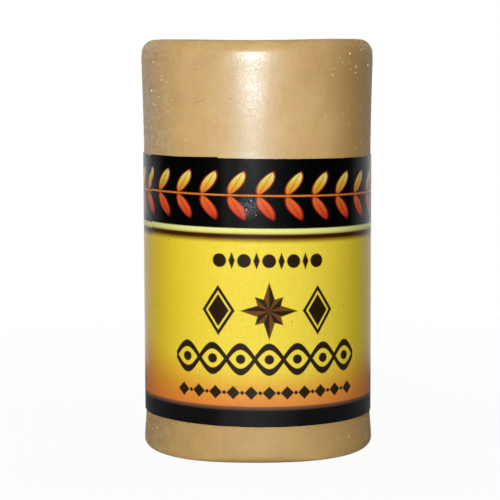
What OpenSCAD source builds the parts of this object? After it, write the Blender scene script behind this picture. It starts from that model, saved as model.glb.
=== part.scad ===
// A soft wax filler stick: a waisted cylinder of cast wax with a printed wrap label round its waist.
// Millimetres. +Z is up along the stick's axis, the origin is the middle of the flat base,
// and the front of the label faces -Y.

/* [Wax stick] */
// Height of the stick, from its flat base to its flat top
stick_height = 44.45; // [40:0.05:60]
// Diameter of the waist, where the label sits
waist_diameter = 24.9; // [18:0.1:32]
// How far the rim stands out past the waist, under the top edge
rim_flare = 0.25; // [0:0.01:1]
// How far the foot stands out past the waist, above the base edge
foot_flare = 0.18; // [0:0.01:1]
// Radius of the moulded top edge
rim_fillet = 1.5; // [0.4:0.1:3]
// Radius of the wiped base edge
foot_fillet = 0.6; // [0.2:0.1:1.5]

/* [Label] */
// Height of the label along the stick
label_height = 28.15; // [20:0.05:30]
// Height of the label's lower edge above the base, at the front
label_lift = 4.05; // [2.5:0.05:5]
// Thickness of the printed face film
film_thickness = 0.07; // [0.04:0.01:0.1]
// Thickness of the adhesive behind the film
adhesive_thickness = 0.02; // [0.01:0.005:0.04]
// Length of the end that laps over the start, along the wrap
overlap_length = 9.8; // [3:0.1:20]
// Length over which the film climbs onto its own start
climb_length = 1.6; // [0.8:0.1:3]
// Angle from the front to the lapping end, towards the viewer's left
lap_edge_angle = 64; // [20:1:120]
// Angle at which the label was wound askew, lower at the viewer's right
label_skew = 0.75; // [0:0.05:1.5]

/* [Hidden] */

wax_colour = "#CDAC74";
adhesive_colour = "#E6DCC0";
label_colour = "#F0C93C";

round_steps = 180;
full_turn = 360;
quarter_turn = full_turn / 4;
front_angle = -quarter_turn;

waist_radius = waist_diameter / 2;
rim_radius = waist_radius + rim_flare;
foot_radius = waist_radius + foot_flare;

// The waist is a true cylinder that runs a little past the label's askew edges
waist_margin = 0.15;
skew_reach = waist_radius * tan(label_skew);
waist_low = label_lift - skew_reach - waist_margin;
waist_high = label_lift + label_height + skew_reach + waist_margin;

// One turn of the label is the film and the adhesive behind it
turn_thickness = film_thickness + adhesive_thickness;
film_radius = waist_radius + adhesive_thickness;

// Angles round the stick, counted from +X
function wrap_angle(length) = full_turn * length / (2 * PI * waist_radius);
lap_edge = front_angle - lap_edge_angle;
lap_start = lap_edge + wrap_angle(overlap_length);
climb_start = lap_start + wrap_angle(climb_length);
climb_middle = (lap_start + climb_start) / 2;

// The film climbs along an arc whose centre lies this far off the axis
climb_offset = turn_thickness * waist_radius / climb_length;

// The start of the label stops this far short of the place where the climbing film lands on it
start_setback = 0.1;

// Overrun of every cutting shape past what it cuts
overrun = 1;

// The cast stick, revolved: flat base, flared foot, waist, flared rim and flat top
module wax_stick() {
    color(wax_colour)
    rotate_extrude($fn = round_steps)
    union() {
        polygon([
            [0, 0],
            [foot_radius - foot_fillet, 0],
            [foot_radius, foot_fillet],
            [waist_radius, waist_low],
            [waist_radius, waist_high],
            [rim_radius, stick_height - rim_fillet],
            [rim_radius - rim_fillet, stick_height],
            [0, stick_height],
        ]);
        translate([foot_radius - foot_fillet, foot_fillet])
        circle(foot_fillet, $fn = round_steps / 2);
        translate([rim_radius - rim_fillet, stick_height - rim_fillet])
        circle(rim_fillet, $fn = round_steps / 2);
    }
}

function on_circle(radius, angle) = [radius * cos(angle), radius * sin(angle)];

// A slice of the plane from the axis out past the label, less than half a turn wide
module sector(from, to) {
    reach = 2 * waist_radius;
    polygon([[0, 0], on_circle(reach, from), on_circle(reach, (from + to) / 2), on_circle(reach, to)]);
}

// A disc whose edge is one face of a wrapped layer: round at first, then climbing to the second turn
module wrap_disc(radius, lap_end) {
    circle(radius, $fn = round_steps);
    intersection() {
        translate(on_circle(climb_offset, climb_middle - quarter_turn))
        circle(norm([radius + turn_thickness / 2, climb_offset]), $fn = round_steps);
        circle(radius + turn_thickness, $fn = round_steps);
        sector(lap_end, climb_start + wrap_angle(overrun));
    }
}

// A layer seen from above, with its lapping end over its own start
module wrap_outline(radius, thickness) {
    difference() {
        wrap_disc(radius + thickness, lap_edge);
        wrap_disc(radius, lap_edge - wrap_angle(overrun));
    }
    intersection() {
        difference() {
            circle(radius + thickness, $fn = round_steps);
            circle(radius, $fn = round_steps);
        }
        sector(lap_edge - 2 * wrap_angle(overrun), lap_start - wrap_angle(start_setback));
    }
}

// A layer of the label, extruded along the stick and trimmed to the label's two askew edges
module wrapped_layer(radius, thickness) {
    band_width = 2 * (waist_radius + 2 * turn_thickness + overrun);
    intersection() {
        linear_extrude(label_lift + label_height + skew_reach + overrun)
        wrap_outline(radius, thickness);
        translate([0, 0, label_lift + label_height / 2])
        rotate([0, label_skew, 0])
        cube([band_width, band_width, label_height], center = true);
    }
}

module label_adhesive() {
    color(adhesive_colour)
    wrapped_layer(waist_radius, adhesive_thickness);
}

module printed_label() {
    color(label_colour)
    wrapped_layer(film_radius, film_thickness);
}

wax_stick();
label_adhesive();
printed_label();
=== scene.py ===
"""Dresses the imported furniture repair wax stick: cast wax, printed wrap label, adhesive and wax crumbs.

Every length in the classes below is in millimetres and every angle in degrees, and both are turned
to metres and radians where a mesh, a node or a lamp takes them. The stick stands on its base at the
origin, +Z runs up its axis and the front of the label faces -Y.
"""

import logging
import math
from dataclasses import dataclass, field
from enum import Enum
from typing import Any

import bmesh
import bpy
from mathutils import Matrix, Vector, noise


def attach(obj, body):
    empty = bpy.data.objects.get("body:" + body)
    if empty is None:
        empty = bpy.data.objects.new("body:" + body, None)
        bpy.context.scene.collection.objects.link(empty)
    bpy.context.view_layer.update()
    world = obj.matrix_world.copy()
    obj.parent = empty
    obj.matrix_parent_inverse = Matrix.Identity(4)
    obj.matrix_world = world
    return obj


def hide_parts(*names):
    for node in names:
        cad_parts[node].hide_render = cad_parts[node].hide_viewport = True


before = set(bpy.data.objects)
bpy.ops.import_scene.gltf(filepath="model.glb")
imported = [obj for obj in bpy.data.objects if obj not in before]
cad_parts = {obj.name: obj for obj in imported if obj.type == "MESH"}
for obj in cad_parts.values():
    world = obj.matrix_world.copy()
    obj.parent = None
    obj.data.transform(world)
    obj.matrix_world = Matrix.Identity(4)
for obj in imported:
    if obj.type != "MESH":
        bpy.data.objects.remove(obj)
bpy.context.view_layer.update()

MM = 0.001
BODY = "root"
# Past the end of anything on the stick
FAR = 1000.0
WHITE = "#FFFFFF"
# The waist that the label is wound on, and the label's two layers
WAIST_RADIUS = 12.45
ADHESIVE_THICKNESS = 0.02
FILM_THICKNESS = 0.07
# The attributes that a mesh carries: where a point lies on the flat print, and a bold speck's size
WRAP = "wrap_mm"
MARK = "mark"

# Blender's names for the nodes that are used most, and the settings that go with them
MATH = "ShaderNodeMath"
VECTOR = "ShaderNodeVectorMath"
RANGE = "ShaderNodeMapRange"
NOISE = "ShaderNodeTexNoise"
MIX = "ShaderNodeMix"
XYZ = "ShaderNodeSeparateXYZ"
JOIN_XYZ = "ShaderNodeCombineXYZ"
IN_COLOUR = {"data_type": "RGBA"}
SMOOTH = {"interpolation_type": "SMOOTHSTEP"}

Socket = bpy.types.NodeSocket
Material = bpy.types.Material
# A node's inputs, by index or name
Inputs = dict[int | str, Any]
Triple = tuple[float, float, float]
# Where an ink starts, where it is full, and its colour
Ink = tuple[float, float, str]
# A scratch's start, end and half width
Scratch = tuple[Vector, Vector, float]

log = logging.getLogger("wax_stick")


class Region(Enum):
    """Where a ring of the casting's profile lies."""

    BASE = "base"
    WALL = "wall"
    HIDDEN = "hidden"
    TOP = "top"


def linear(hex_colour: str) -> tuple[float, ...]:
    """Turns an sRGB colour to the linear one that Blender's sockets take.

    Args:
        hex_colour: The colour as #RRGGBB.

    Returns:
        Linear red, green, blue, and an alpha of 1.
    """
    channels = [int(hex_colour[i : i + 2], 16) / 255 for i in (1, 3, 5)]
    return (*(c / 12.92 if c <= 0.04045 else ((c + 0.055) / 1.055) ** 2.4 for c in channels), 1.0)


def shares(steps: int) -> list[float]:
    """Splits a run into even steps, and lists how far along it each one ends, up to 1."""
    return [step / steps for step in range(1, steps + 1)]


def eased(share: float) -> float:
    """Eases a share in and out."""
    return share * share * (3 - 2 * share)


@dataclass(frozen=True)
class Ramp:
    """A value that runs from first to last while what it follows runs from start to end."""

    start: float
    end: float
    first: float = 0.0
    last: float = 1.0

    def of(self, source: Socket, unit: float = 1.0) -> Inputs:
        """The inputs of a Map Range node that follows a socket, with start and end in the unit."""
        return {0: source, 1: self.start * unit, 2: self.end * unit, 3: self.first, 4: self.last}


@dataclass(frozen=True)
class Grain:
    """A noise: the size of its lumps in millimetres, and how much finer noise lies over them."""

    size: float
    detail: float = 2.0
    roughness: float = 0.5

    def of(self, place: Socket, unit: float = MM) -> Inputs:
        """The inputs of a noise node that is read at a place, which is given in the unit."""
        scale = 1 / (self.size * unit)
        return {"Vector": place, "Scale": scale, "Detail": self.detail, "Roughness": self.roughness}


@dataclass
class Graph:
    """A node tree that is being built, of shader or geometry nodes."""

    tree: bpy.types.NodeTree

    def add(self, kind: str, links: Inputs | None = None, out: str = "", **settings: Any) -> Socket:
        """Adds one node with its settings and its inputs.

        Args:
            kind: The node's type, as Blender names it.
            links: For each input the socket to link, a list of them, or the value to set; a colour
                is given as #RRGGBB.
            out: The name of the output that is handed back, if it isn't the first one in use.
            **settings: The node's own properties.

        Returns:
            The chosen output socket, or the first input of a node that has no output.
        """
        node = self.tree.nodes.new(kind)
        for name, value in settings.items():
            setattr(node, name, value)
        for key, value in (links or {}).items():
            for source in value if isinstance(value, list) else [value]:
                if isinstance(source, Socket):
                    self.tree.links.new(source, node.inputs[key])
                elif isinstance(source, str) and source.startswith("#"):
                    node.inputs[key].default_value = linear(source)
                else:
                    node.inputs[key].default_value = source
        in_use = [socket for socket in node.outputs if socket.enabled and out in ("", socket.name)]
        return in_use[0] if in_use else node.inputs[0]

    def chain(self, kind: str, value: Any, *steps: tuple[Any, ...]) -> Socket:
        """Sends a value through a row of nodes, each of which takes what the last one gives.

        Args:
            kind: The type of the nodes, as Blender names it.
            value: The socket or value that goes into the first node.
            *steps: For each node its operation, and then its other inputs in order.

        Returns:
            The last node's output.
        """
        for operation, *others in steps:
            value = self.add(kind, dict(enumerate((value, *others))), operation=operation)
        return value


def new_material(name: str) -> tuple[Material, Graph]:
    """Makes an empty node material.

    Args:
        name: The material's name.

    Returns:
        The material, and its cleared node tree.
    """
    material = bpy.data.materials.new(name)
    material.use_nodes = True
    material.node_tree.nodes.clear()
    return material, Graph(material.node_tree)


def new_object(name: str, data: bpy.types.ID) -> bpy.types.Object:
    """Links a new object into the scene, at the origin, unturned and unscaled.

    Args:
        name: The object's name.
        data: Its mesh, lamp or camera.

    Returns:
        The object.
    """
    made = bpy.data.objects.new(name, data)
    bpy.context.scene.collection.objects.link(made)
    return made


def new_geometry_tree(name: str, sizes: dict[str, float]) -> tuple[Graph, dict[str, Socket]]:
    """Starts a geometry tree with a named input for each size, and one for the finish.

    Args:
        name: The tree's name.
        sizes: The sizes by name; a whole number gives an input for whole numbers.

    Returns:
        The graph, and each input's socket by name, with the incoming mesh under Geometry.
    """
    tree = bpy.data.node_groups.new(name, "GeometryNodeTree")
    kinds = {label: "Int" if isinstance(size, int) else "Float" for label, size in sizes.items()}
    for label, kind in {"Geometry": "Geometry", **kinds, "Finish": "Material"}.items():
        tree.interface.new_socket(label, in_out="INPUT", socket_type=f"NodeSocket{kind}")
    tree.interface.new_socket("Geometry", in_out="OUTPUT", socket_type="NodeSocketGeometry")
    graph = Graph(tree)
    source = graph.add("NodeGroupInput").node
    return graph, {s.name: s for s in source.outputs if s.name}


def grown(
    name: str, seed_mesh: bpy.types.Mesh, tree: bpy.types.NodeTree, sizes: dict[str, float], finish: Material
) -> bpy.types.Object:
    """Runs a geometry tree once and keeps what it makes as a plain mesh.

    Args:
        name: The name of the object.
        seed_mesh: The mesh that the tree starts from.
        tree: The geometry node tree.
        sizes: A value for each of the tree's named inputs.
        finish: The material that the tree sets.

    Returns:
        An object with the finished mesh and no modifier.
    """
    made = new_object(name, seed_mesh)
    modifier = made.modifiers.new("grow", "NODES")
    modifier.node_group = tree
    values = {**sizes, "Finish": finish}
    for item in tree.interface.items_tree:
        if item.in_out == "INPUT" and item.name in values:
            modifier[item.identifier] = values[item.name]
    bpy.context.view_layer.update()
    shown = made.evaluated_get(bpy.context.evaluated_depsgraph_get())
    mesh = bpy.data.meshes.new_from_object(shown)
    made.modifiers.remove(modifier)
    made.data = mesh
    mesh.name = name
    return made


# Finishes


@dataclass(frozen=True)
class CastWax:
    """Pigmented soft wax, poured and then wiped by hand.

    The eye sees a warm tan, satin and a little translucent. Dry bloom with a painted pale sheen hazes its
    left side, and painted shade deepens its right side and its foot.
    """

    # Colours, from the wax outwards; painted shade darkens the foot up to the foot line
    shade: str = "#D3AA6A"
    body: str = "#E3BC7C"
    # Painted shade for the viewer's right side: a deeper, browner tan
    right_side_shade: str = "#CA9D54"
    bloom: str = "#DCD2C0"
    damp_bloom: str = "#C79C84"
    fleck: str = "#F6E8C4"
    grime: str = "#7A5E36"
    # The tint that paints shade onto the foot
    foot_painted_shade: str = "#E7E2CC"
    foot_line: float = 6.0
    gleam: str = "#74CEFF"
    sheen: str = "#D9D4D2"

    # Light on the wax and in it
    ior: float = 1.44
    roughness: Ramp = Ramp(0.3, 0.7, 0.40, 0.56)
    foot_dulling: float = 0.2
    top_dulling: Ramp = Ramp(43.9, 44.3, 0.0, 0.45)
    sheen_share: float = 0.03
    sheen_roughness: float = 0.4
    glow_share: float = 0.16
    glow_depth: float = 1.1
    glow_spread: Triple = (1.0, 0.55, 0.25)

    # Clouds in the colour
    tone: Grain = Grain(4.2, 3.0)
    mottle: Grain = Grain(0.7)
    mottle_share: float = 0.45
    streak: Grain = Grain(0.45, 1.0)
    streak_length: float = 3.7
    streak_share: float = 0.25
    clouding: Ramp = Ramp(0.45, 1.0)
    soiling: float = 0.75

    # Dust bloom with a painted pale sheen, thickest on the viewer's left; painted shade on the viewer's right
    dust: Grain = Grain(0.5, 5.0, 0.72)
    smear_stretch: float = 2.6
    damp: Ramp = Ramp(0.42, 0.58)
    left_sheen_share: Ramp = Ramp(-8.2, -12.2, 0.0, 0.69)
    haze_high: Ramp = Ramp(36.0, 42.0, 1.0, 0.6)
    haze_grains: Ramp = Ramp(0.42, 0.6, 0.25, 1.0)
    haze_all_over: float = 0.02
    right_shade_share: Ramp = Ramp(7.2, 10.2, 0.0, 0.85)

    # Flecks: their soft edge, how many of the cells have one, and how they thin out towards the middle
    fleck_spacing: float = 0.5
    fleck_edge: Ramp = Ramp(0.063, 0.027)
    fleck_pick: Ramp = Ramp(0.6, 0.9, 0.0, 0.8)
    fleck_aside: Ramp = Ramp(4.0, 10.5, 0.2, 1.0)

    # The polished skin, and the share of it that is left by height, in pores, where the front was
    # rubbed, and at a glancing angle, where dry bloom kills the gloss
    skin_ior: float = 1.9
    skin_roughness: float = 0.33
    skin_high: tuple[Ramp, ...] = (
        Ramp(35.5, 39.8, 0.45, 1.0),
        Ramp(5.0, 25.0, 0.12, 1.0),
        Ramp(43.9, 44.3, 1.0, 0.04),
    )
    pores: Grain = Grain(0.2, 1.0)
    skin_pores: Ramp = Ramp(0.43, 0.58, 1.0, 0.42)
    rubbed_spot: Triple = (-0.6, -12.6, 38.9)
    skin_rubbed: Ramp = Ramp(0.38, 1.9, 1.0, 0.74)
    skin_glancing: Ramp = Ramp(0.15, 0.6, 1.0, 0.04)

    # Bumps
    ripple: Grain = Grain(1.1)
    ripple_height: float = 0.012
    wipe_height: float = 0.006
    grain: Grain = Grain(0.2)
    grain_height: float = 0.012
    groove_depth: float = 0.03

    def build(self, scratches: tuple[Scratch, ...]) -> Material:
        """Builds the material.

        Args:
            scratches: The scratches and pits, in metres.

        Returns:
            The finished material.
        """
        material, g = new_material("cast_pigmented_wax")
        place = g.add("ShaderNodeTexCoord", out="Object")
        parts = g.add(XYZ, {0: place}).node.outputs
        across, high = parts["X"], parts["Z"]
        tone = g.add(NOISE, self.tone.of(place))
        mottle = g.add(NOISE, self.mottle.of(place))
        # Wiping drags the surface up and down the stick, so this noise is long along Z.
        squeeze = (1.0, 1.0, self.streak.size / self.streak_length)
        wiped = g.add("ShaderNodeMapping", {"Vector": place, "Scale": squeeze})
        streak = g.add(NOISE, self.streak.of(wiped))
        clouds = g.chain(MATH, mottle, ("MULTIPLY_ADD", self.mottle_share, tone))
        clouds = g.chain(MATH, streak, ("MULTIPLY_ADD", self.streak_share, clouds))
        foot, above = (
            g.chain(MATH, high, (side, self.foot_line * MM)) for side in ("LESS_THAN", "GREATER_THAN")
        )
        # Painted shade: above the foot, the viewer's right side turns a deeper, browner tan.
        right_shade_share = g.chain(MATH, g.add(RANGE, self.right_shade_share.of(across, MM)), ("MULTIPLY", above))
        dust_and_sheen, bloom = self.dust_and_sheen(g, place, across, high)
        groove = self.groove(g, place, scratches)
        layers = (
            (g.add(RANGE, self.clouding.of(clouds)), self.body),
            (right_shade_share, self.right_side_shade),
            (dust_and_sheen, bloom),
            (self.flecks(g, place, across), self.fleck),
            (g.chain(MATH, groove, ("MULTIPLY", self.soiling)), self.grime),
        )
        colour: Socket | str = self.shade
        for share, tint in layers:
            colour = g.add(MIX, {0: share, 6: colour, 7: tint}, **IN_COLOUR)
        # Painted shade: the foot is multiplied a little darker up to the foot line; the label hides where
        # that begins.
        foot_shading = {0: foot, 6: colour, 7: self.foot_painted_shade}
        colour = g.add(MIX, foot_shading, blend_type="MULTIPLY", **IN_COLOUR)
        # The foot is dulled by the bench, and the top set open to the air and stayed matt.
        satin = g.add(RANGE, self.roughness.of(mottle))
        satin = g.chain(MATH, foot, ("MULTIPLY_ADD", self.foot_dulling, satin))
        satin = g.chain(MATH, satin, ("ADD", g.add(RANGE, self.top_dulling.of(high, MM))))
        relief = self.relief(g, place, streak, groove)
        shader = g.add(
            "ShaderNodeBsdfPrincipled",
            {
                "Base Color": colour,
                "Roughness": satin,
                "IOR": self.ior,
                "Specular IOR Level": 1.0,
                "Specular Tint": self.gleam,
                "Coat Weight": self.skin(g, place, high),
                "Coat Roughness": self.skin_roughness,
                "Coat IOR": self.skin_ior,
                "Coat Normal": relief,
                "Subsurface Weight": self.glow_share,
                "Subsurface Radius": self.glow_spread,
                "Subsurface Scale": self.glow_depth * MM,
                "Sheen Weight": self.sheen_share,
                "Sheen Roughness": self.sheen_roughness,
                "Sheen Tint": self.sheen,
                "Normal": relief,
            },
        )
        g.add("ShaderNodeOutputMaterial", {"Surface": shader})
        return material

    def skin(self, g: Graph, place: Socket, high: Socket) -> Socket:
        """How much of the polished skin is left: most near the rim, least where hands and the bench dull it.

        Args:
            g: The material's graph.
            place: Object coordinates.
            high: Height up the stick, in metres.

        Returns:
            A share from 0 to 1.
        """
        rubbed = g.chain(VECTOR, place, ("DISTANCE", Vector(self.rubbed_spot) * MM))
        facing = g.add("ShaderNodeLayerWeight", {"Blend": 0.5}, out="Facing")
        wear = (
            *(ramp.of(high, MM) for ramp in self.skin_high),
            self.skin_pores.of(g.add(NOISE, self.pores.of(place))),
            self.skin_rubbed.of(rubbed, MM),
            self.skin_glancing.of(facing),
        )
        return g.chain(MATH, 1.0, *(("MULTIPLY", g.add(RANGE, share)) for share in wear))

    def dust_and_sheen(self, g: Graph, place: Socket, across: Socket, high: Socket) -> tuple[Socket, Socket]:
        """The dry, dusty bloom over the wax, with a painted pale sheen that lies thickest on the viewer's
        left.

        Args:
            g: The material's graph.
            place: Object coordinates.
            across: Distance to the viewer's right of the axis, in metres.
            high: Height up the stick, in metres.

        Returns:
            The share of the wax that it covers, and its colour.
        """
        # Dust wipes off round the stick, so at the sides it lies in smears that are long along Y.
        smeared = g.add("ShaderNodeMapping", {"Vector": place, "Scale": (1.0, 1 / self.smear_stretch, 1.0)})
        damp = g.add(RANGE, self.damp.of(g.add(NOISE, self.mottle.of(smeared))))
        bloom = g.add(MIX, {0: damp, 6: self.bloom, 7: self.damp_bloom}, **IN_COLOUR)
        # Painted pale sheen: the bloom thickens towards the viewer's left edge.
        left = g.add(RANGE, self.left_sheen_share.of(across, MM))
        left = g.chain(MATH, left, ("MULTIPLY", g.add(RANGE, self.haze_high.of(high, MM))))
        grains = g.add(RANGE, self.haze_grains.of(g.add(NOISE, self.dust.of(smeared))))
        return g.chain(MATH, left, ("MULTIPLY_ADD", grains, self.haze_all_over)), bloom

    def flecks(self, g: Graph, place: Socket, across: Socket) -> Socket:
        """The share of tiny pale dots of dry wax, most of them to the sides.

        Args:
            g: The material's graph.
            place: Object coordinates.
            across: Distance to the viewer's right of the axis, in metres.

        Returns:
            A share from 0 to 1.
        """
        cell = {"Vector": place, "Scale": 1 / (self.fleck_spacing * MM)}
        cells = g.add("ShaderNodeTexVoronoi", cell).node.outputs
        dot = g.add(RANGE, self.fleck_edge.of(cells["Distance"], 1 / self.fleck_spacing))
        pick = g.add("ShaderNodeSeparateColor", {0: cells["Color"]})
        aside = g.chain(MATH, across, ("ABSOLUTE",))
        chosen = g.add(RANGE, self.fleck_pick.of(pick))
        aside = g.add(RANGE, self.fleck_aside.of(aside, MM))
        return g.chain(MATH, dot, ("MULTIPLY", chosen), ("MULTIPLY", aside))

    def groove(self, g: Graph, place: Socket, scratches: tuple[Scratch, ...]) -> Socket:
        """How deep each point lies in a scratch or pit.

        Args:
            g: The material's graph.
            place: Object coordinates.
            scratches: The scratches and pits, in metres.

        Returns:
            1 in the middle of a scratch and 0 outside all of them.
        """
        deepest: Socket | float = 0.0
        for start, end, half_width in scratches:
            along = end - start
            unit = along / along.length_squared
            reach = g.chain(VECTOR, place, ("SUBTRACT", start))
            share = g.add("ShaderNodeClamp", {0: g.chain(VECTOR, reach, ("DOT_PRODUCT", unit))})
            nearest = g.add(VECTOR, {0: along, 3: share}, operation="SCALE")
            apart = g.chain(VECTOR, reach, ("DISTANCE", nearest))
            depth = g.add(RANGE, {0: apart, 1: half_width, 2: 0.0}, **SMOOTH)
            deepest = g.chain(MATH, deepest, ("MAXIMUM", depth))
        return deepest

    def relief(self, g: Graph, place: Socket, streak: Socket, groove: Socket) -> Socket:
        """The bumps of the surface: slow ripples, wiping streaks, fine grain and the scratches.

        Args:
            g: The material's graph.
            place: Object coordinates.
            streak: The noise of the wiping streaks.
            groove: 1 in the middle of a scratch.

        Returns:
            The bent normal.
        """
        heights = (
            (g.add(NOISE, self.ripple.of(place)), self.ripple_height, False),
            (streak, self.wipe_height, False),
            (g.add(NOISE, self.grain.of(place)), self.grain_height, False),
            (groove, self.groove_depth, True),
        )
        normal = g.add("ShaderNodeNewGeometry", out="Normal")
        for height, tallest, sunk in heights:
            links = {"Height": height, "Distance": tallest * MM, "Strength": 1.0, "Normal": normal}
            normal = g.add("ShaderNodeBump", links, invert=sunk)
        return normal


@dataclass(frozen=True)
class Speckled:
    """A thin, plain material of two tones, clouded one into the other by a noise."""

    name: str
    colour: str
    second: str
    clouding: Ramp
    grain: Grain
    roughness: float
    ior: float

    def build(self) -> Material:
        """Builds the material.

        Returns:
            The finished material.
        """
        material, g = new_material(self.name)
        cloud = g.add(NOISE, self.grain.of(g.add("ShaderNodeTexCoord", out="Object")))
        share = g.add(RANGE, self.clouding.of(cloud))
        colour = g.add(MIX, {0: share, 6: self.colour, 7: self.second}, **IN_COLOUR)
        look = {"Base Color": colour, "Roughness": self.roughness, "IOR": self.ior}
        g.add("ShaderNodeOutputMaterial", {"Surface": g.add("ShaderNodeBsdfPrincipled", look)})
        return material


# Shavings of the same wax look paler than the block, because each crumb is thin and dry.
WAX_CRUMB = Speckled(
    "dry_wax_shavings",
    colour="#F0DCAE",
    second="#FFF4DC",
    clouding=Ramp(0.0, 1.0),
    grain=Grain(0.08),
    roughness=0.42,
    ior=1.44,
)

# Acrylic adhesive, rolled on as a thin film, is cream, tacky and soft-edged, with dust in its rim.
ADHESIVE = Speckled(
    "acrylic_label_adhesive",
    colour="#E6DCC0",
    second="#A89878",
    clouding=Ramp(0.45, 0.75),
    grain=Grain(0.35, 3.0),
    roughness=0.5,
    ior=1.47,
)


@dataclass(frozen=True)
class Motif:
    """The places and sizes of the print's ornaments, in millimetres round the label and up the stick."""

    middle: float = 1.15
    half_repeat: float = 19.55
    leaves: int = 13
    leaf_line: float = 28.3
    leaf_repeat: float = 2 * half_repeat / leaves
    leaf_slant: float = 0.62
    leaf_rise: float = 1.28
    leaf_half_length: float = 1.16
    leaf_half_width: float = 0.64
    leaf_border: float = 0.14
    rib_half_width: float = 0.06
    rib_share: float = 0.45
    stem_half_width: float = 0.09
    bead_line: float = 21.5
    bead_repeat: float = 2.6
    bead_radius: float = 0.72
    bead_reach: float = 6.05
    reel_half_width: float = 0.34
    reel_half_height: float = 0.9
    star_line: float = 16.25
    star_points: int = 8
    star_long: float = 3.05
    star_short: float = 2.1
    star_notch: float = 1.05
    lozenge_offset: float = 5.35
    lozenge_half_width: float = 1.75
    lozenge_half_height: float = 2.65
    frame_inset: float = 0.42
    frame_half_width: float = 0.1
    twist_line: float = 11.15
    twist_half_wave: float = 3.0
    twist_swing: float = 1.35
    twist_half_stroke: float = 0.36
    twist_reach: float = 10.5
    eye_radius: float = 0.5
    chain_line: float = 7.6
    chain_repeat: float = 1.9
    chain_half_size: float = 0.72
    chain_dot: float = 0.2
    chain_reach: float = 10.24
    speck_spacing: float = 6.5
    speck_radius: float = 0.05


@dataclass(frozen=True)
class Palette:
    """The inks of the print, in the order in which they lie over one another."""

    softness: float = 0.055
    dark: str = "#2A1B06"
    dark_light: str = "#6F4610"
    leaf_edge: str = "#8E1E12"

    # The field by height: orange at the foot band, amber, then clear yellow
    glow_low: str = "#EC8842"
    glow: tuple[Ink, ...] = (
        (5.6, 8.2, "#ECA840"),
        (7.2, 10.6, "#F9E04A"),
    )
    glow_climb: float = 0.58
    glow_reach: float = 16.3
    # Painted shade over the field by distance from its middle: darker and more golden towards the sides
    sides: tuple[Ink, ...] = (
        (3.0, 12.0, "#FFF8BE"),
        (9.0, 18.0, "#F8EAAC"),
    )
    # By height: a scorched edge, oxblood, two pale rules and the header's black; then the foot band
    rules: tuple[Ink, ...] = (
        (23.25, 23.68, "#BD9A23"),
        (23.52, 23.95, "#451A00"),
        (24.18, 24.44, "#E9E074"),
        (24.38, 24.66, "#F4F69C"),
        (24.81, 24.95, "#020202"),
        (6.28, 6.0, "#6E5040"),
        (5.98, 5.62, "#040404"),
    )
    # The leaves by height: red, orange, then pale yellow tips
    flame_low: str = "#C93A1E"
    flame: tuple[Ink, ...] = (
        (25.6, 27.6, "#E8602C"),
        (27.0, 29.0, "#E88A2C"),
        (28.4, 30.0, "#E6C440"),
        (29.4, 31.0, "#F0F08C"),
    )


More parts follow.
